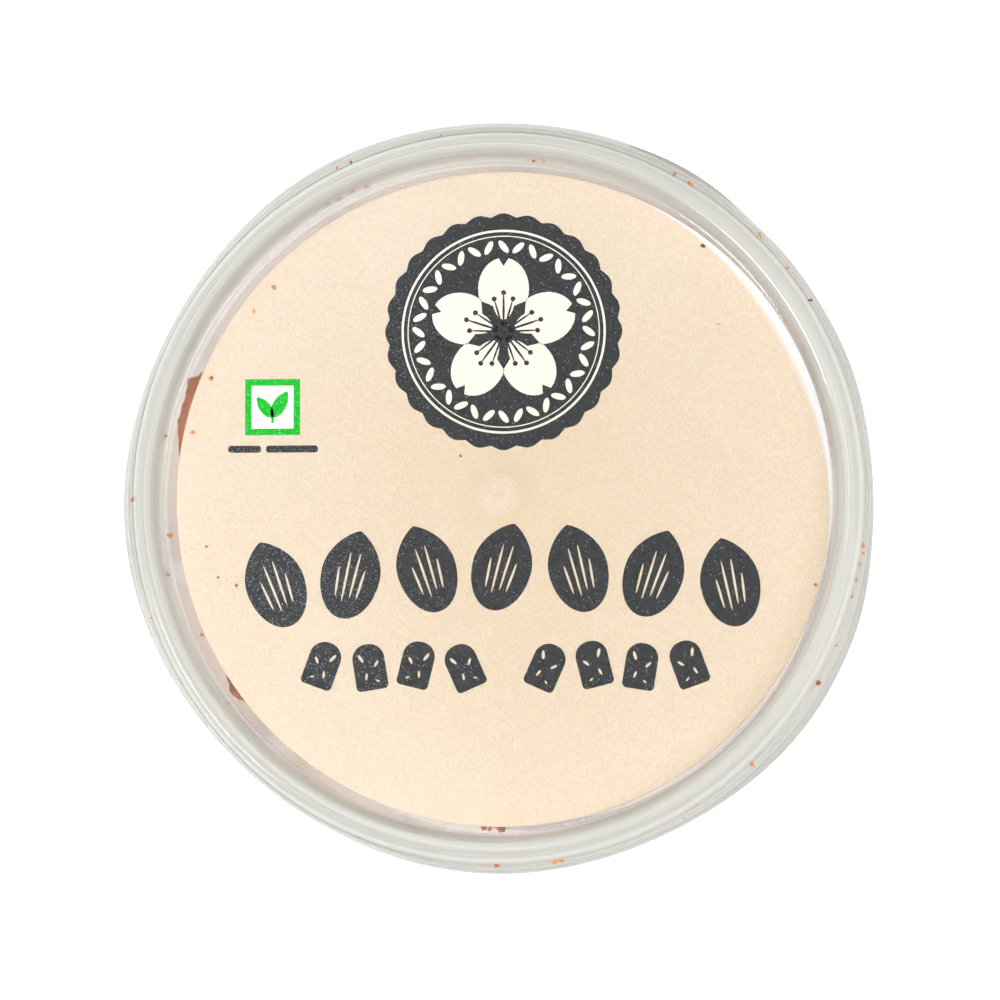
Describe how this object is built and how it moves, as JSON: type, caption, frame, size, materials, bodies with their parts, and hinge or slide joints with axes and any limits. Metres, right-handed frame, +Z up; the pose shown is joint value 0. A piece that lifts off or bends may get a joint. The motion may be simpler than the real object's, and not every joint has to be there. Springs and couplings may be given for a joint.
{
  "type": "lidded round tub of cake rusk",
  "caption": "round clear plastic tub with a press-on lid, a printed label sunk in the lid, packed with upright slices of cake rusk",
  "frame": {"origin": "middle of the tub's foot, on the surface that it stands on", "axes": "+Z up through the middle of the lid; +Y towards the top of the label's print and +X towards its right side"},
  "size_m": [0.1504, 0.1505, 0.096],
  "materials": {
    "tub_plastic": "natural clear polypropylene, glossy and very lightly hazed",
    "lid_plastic": "natural clear polypropylene with a light grey haze, satin gloss",
    "label_film": "matt cream printed film with a fine orange-peel grain",
    "rusk": "dry baked crumb, golden brown with darker brown crusts"
  },
  "bodies": {
    "root": {"tub": "tub_plastic", "lid": "lid_plastic", "label": "label_film", "rusk_01": "rusk", "rusk_02": "rusk", "rusk_03": "rusk", "rusk_04": "rusk", "rusk_05": "rusk", "rusk_06": "rusk", "rusk_07": "rusk", "rusk_08": "rusk", "rusk_09": "rusk", "rusk_10": "rusk", "rusk_11": "rusk", "rusk_12": "rusk", "rusk_13": "rusk", "rusk_14": "rusk", "rusk_15": "rusk", "rusk_16": "rusk", "rusk_17": "rusk", "rusk_18": "rusk", "rusk_19": "rusk", "rusk_20": "rusk", "rusk_21": "rusk", "rusk_22": "rusk", "rusk_23": "rusk", "rusk_24": "rusk"}
  },
  "joints": []
}
